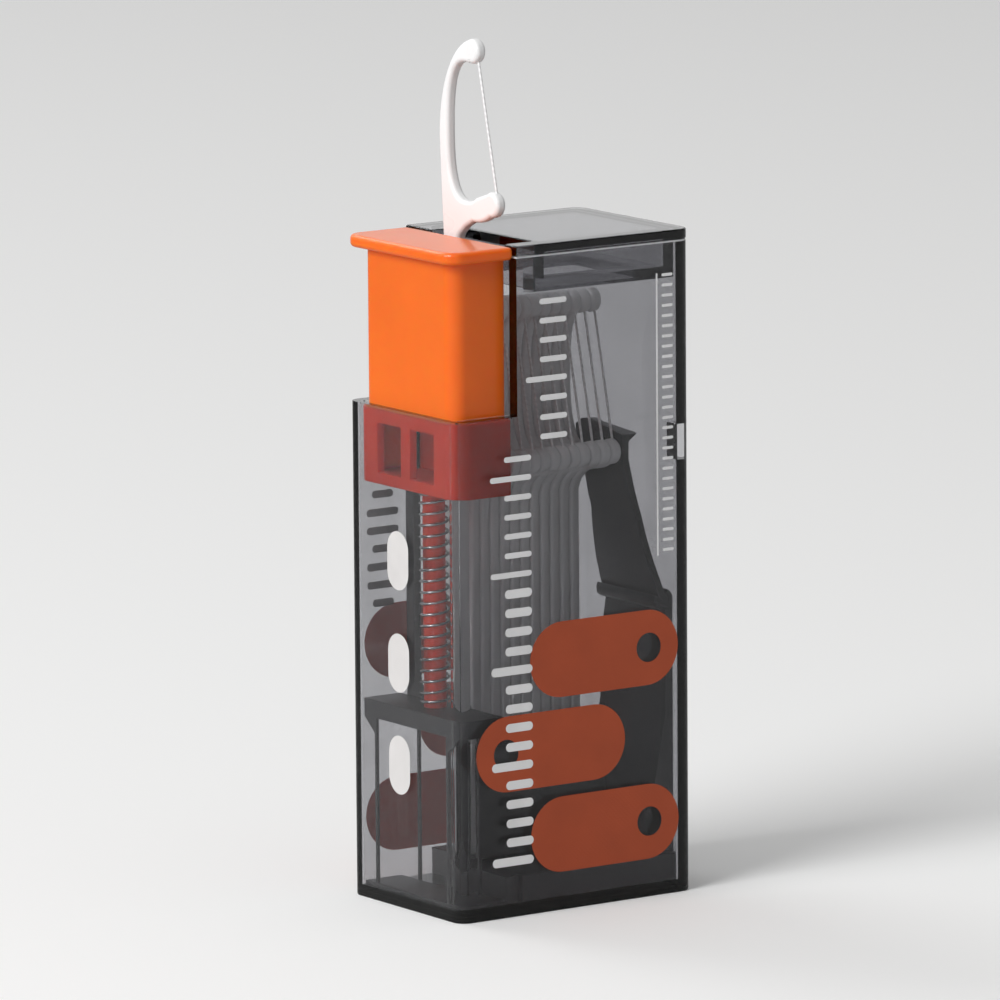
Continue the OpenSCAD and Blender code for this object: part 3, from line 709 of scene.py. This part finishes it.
def patch(width, height, radius, at, hole=None):
    """A flat rounded patch placed by a matrix. A hole is given as its own three measures and how
    far it lies from the middle."""
    bm = bmesh.new()
    rounded_outline(bm, width, height, radius)
    if hole:
        hole_width, hole_height, hole_radius, shift = hole
        inner_bm = bmesh.new()
        rounded_outline(inner_bm, hole_width, hole_height, hole_radius)
        bmesh.ops.translate(inner_bm, verts=inner_bm.verts, vec=shift)
        temporary = mesh_from(inner_bm, "temporary")
        bmesh.ops.delete(bm, geom=list(bm.faces), context="FACES_ONLY")
        bm.from_mesh(temporary)
        bpy.data.meshes.remove(temporary)
        bmesh.ops.delete(bm, geom=list(bm.faces), context="FACES_ONLY")
        bmesh.ops.bridge_loops(bm, edges=list(bm.edges))
    flat = bmesh.ops.extrude_face_region(bm, geom=list(bm.faces))
    lifted = [v for v in flat["geom"] if isinstance(v, bmesh.types.BMVert)]
    bmesh.ops.translate(bm, verts=lifted, vec=(0, 0, INK_THICKNESS))
    bmesh.ops.transform(bm, matrix=at, verts=bm.verts)
    bmesh.ops.recalc_face_normals(bm, faces=bm.faces)
    return bm


def joined(name, patches):
    whole = bmesh.new()
    for bm in patches:
        part = mesh_from(bm, "part")
        whole.from_mesh(part)
        bpy.data.meshes.remove(part)
    made = new_object(name, mesh_from(whole, name))
    print(name, "is made of", len(patches), "patches")
    return made


print("a patch is", round(INK_THICKNESS / MM, 3), "mm thick")

# %% Mix the inks
screen_print, print_in, print_out = open_group(
    "screen_print", ("Colour", "Color", "INPUT"), ("Colour", "Color", "OUTPUT"),
    ("Height", "Float", "OUTPUT"))
print_at = object_place(screen_print)
waves = []
for direction in ("Z", "DIAGONAL"):
    wave = new_node(screen_print, "ShaderNodeTexWave", bands_direction=direction)
    wave.inputs["Scale"].default_value = 900
    screen_print.links.new(print_at, wave.inputs["Vector"])
    waves.append(wave.outputs["Fac"])
thinness = noise(screen_print, print_at, scale=160, detail=3)
film = map_range(screen_print, thinness, to_min=0.84, to_max=1.12)
screen_print.links.new(tinted(screen_print, print_in.outputs["Colour"], film),
                       print_out.inputs["Colour"])
screen_print.links.new(calculated(screen_print, "MULTIPLY", *waves), print_out.inputs["Height"])


def ink(name, colour, roughness, lets_through=0.0):
    made, tree, shader = new_material(name)
    shader.inputs["Roughness"].default_value = roughness
    shader.inputs["Transmission Weight"].default_value = lets_through
    pressed = place_group(tree, screen_print, Colour=(*colour, 1))
    relief = tree.nodes.new("ShaderNodeBump")
    relief.inputs["Distance"].default_value = 0.01 * MM
    relief.inputs["Strength"].default_value = 0.6
    tree.links.new(pressed.outputs["Colour"], shader.inputs["Base Color"])
    tree.links.new(pressed.outputs["Height"], relief.inputs["Height"])
    tree.links.new(relief.outputs["Normal"], shader.inputs["Normal"])
    return made


orange_ink = ink("orange_ink", (0.48, 0.078, 0.022), roughness=0.45)
thin_ink = ink("thin_orange_ink", (0.62, 0.062, 0.026), roughness=0.6, lets_through=0.45)
white_ink = ink("white_ink", (0.95, 0.95, 0.95), roughness=0.5)
# painted shade: the pills' white ink is mixed darker because the key lamp falls on them
painted_shade_white_ink = ink("painted_shade_white_ink", (0.70, 0.68, 0.67), roughness=0.5)
print("inks:", [pigment.name for pigment in (orange_ink, thin_ink, white_ink, painted_shade_white_ink)])

# %% [markdown]
# Each wide face carries three orange bars with a round hole near one end. A bar is given by its
# middle, in millimetres, and by the side on which its hole lies. The back has the same bars with
# their middles mirrored, in a thinner ink that lets some light through. What is printed over the
# front bars lies one layer further out, so that no two faces share a plane.

# %% Print the wide faces
OFF_WALL, LAYER = 0.002, 0.012
BAR = (25.5 * MM, 10.8 * MM, 5.39 * MM)
HOLE, HOLE_SHIFT = (4.2 * MM, 4.2 * MM, 2.09 * MM), 7.68 * MM
BARS = ((4.75, 35.9, 1), (-4.5, 23.4, -1), (4.75, 10.9, 1))


def on_front(x, z, layer=0):
    return (Matrix.Translation((x * MM, low[1] - (OFF_WALL + LAYER * layer) * MM, z * MM))
            @ Matrix.Rotation(math.pi / 2, 4, "X"))


def on_back(x, z):
    return (Matrix.Translation((x * MM, high[1] + OFF_WALL * MM, z * MM))
            @ Matrix.Rotation(-math.pi / 2, 4, "X"))


for side, place, way, pigment in (("front", on_front, 1, orange_ink), ("back", on_back, -1, thin_ink)):
    bars = [patch(*BAR, place(way * x, z), hole=(*HOLE, (hole_side * HOLE_SHIFT, 0, 0)))
            for x, z, hole_side in BARS]
    finish_piece(joined(side + "_bars", bars), "case", pigment)

# %% [markdown]
# The front carries a scale of white ticks. It runs up the whole height, so it steps to the right
# where the wall above the step begins. Each tick is given by its right end, every fifth is long,
# the lower ones are bolder, and the scale ends a little below the lid. At the right a ruler of fine
# marks stands beside its line, and the back has a short scale of its own.

# %% Print the front scales
TICKS, FIRST_TICK, PITCH = 30, 8, 2.72
BOLD_BELOW, LEFT_BELOW = 48, 66
MARKS, FIRST_MARK, MARK_PITCH = 28, 49.6, 1.45
MARK_X, LINE_X, LINE_Z = 15.9, 14.1, 68.95

ticks = []
for step in range(TICKS):
    z = FIRST_TICK + step * PITCH
    length = 7.0 if step % 5 == 0 else 4.6
    stroke = 1.25 if z < BOLD_BELOW else 0.8
    right_end = -7.6 if z < LEFT_BELOW else -1.4
    ticks.append(patch(length * MM, stroke * MM, stroke * 0.49 * MM,
                       on_front(right_end - length / 2, z, 1)))
for step in range(MARKS):
    ticks.append(patch(1.9 * MM, 0.42 * MM, 0.2 * MM,
                       on_front(MARK_X, FIRST_MARK + step * MARK_PITCH, 1)))
ticks.append(patch(0.28 * MM, 40.3 * MM, 0.13 * MM, on_front(LINE_X, LINE_Z, 1)))
finish_piece(joined("front_scales", ticks), "case", white_ink)

# %% Print the back scale
BACK_TICKS, BACK_X, BACK_FIRST, BACK_PITCH = 8, -14.2, 41.5, 2.6
back_ticks = [patch((5.4 if step % 3 else 3.6) * MM, 1.1 * MM, 0.5 * MM,
                    on_back(BACK_X, BACK_FIRST + step * BACK_PITCH)) for step in range(BACK_TICKS)]
finish_piece(joined("back_scale", back_ticks), "case", white_ink)

# %% [markdown]
# The narrow face carries three plain pills. The key lamp falls on this side, so their white ink is
# painted darker than that of the ticks, a painted shade which keeps it from burning out to a bare
# white.

# %% Print the narrow face
PILL = (5.2 * MM, 8.4 * MM, 2.59 * MM)
PILL_Y, PILL_HEIGHTS = 1.2, (20.5, 35.1, 49.7)


def on_end(y, z):
    turn = Matrix.Rotation(-math.pi / 2, 4, "Y") @ Matrix.Rotation(-math.pi / 2, 4, "Z")
    return Matrix.Translation((low[0] - OFF_WALL * MM, y * MM, z * MM)) @ turn


pills = [patch(*PILL, on_end(PILL_Y, z)) for z in PILL_HEIGHTS]
finish_piece(joined("end_pills", pills), "case", painted_shade_white_ink)
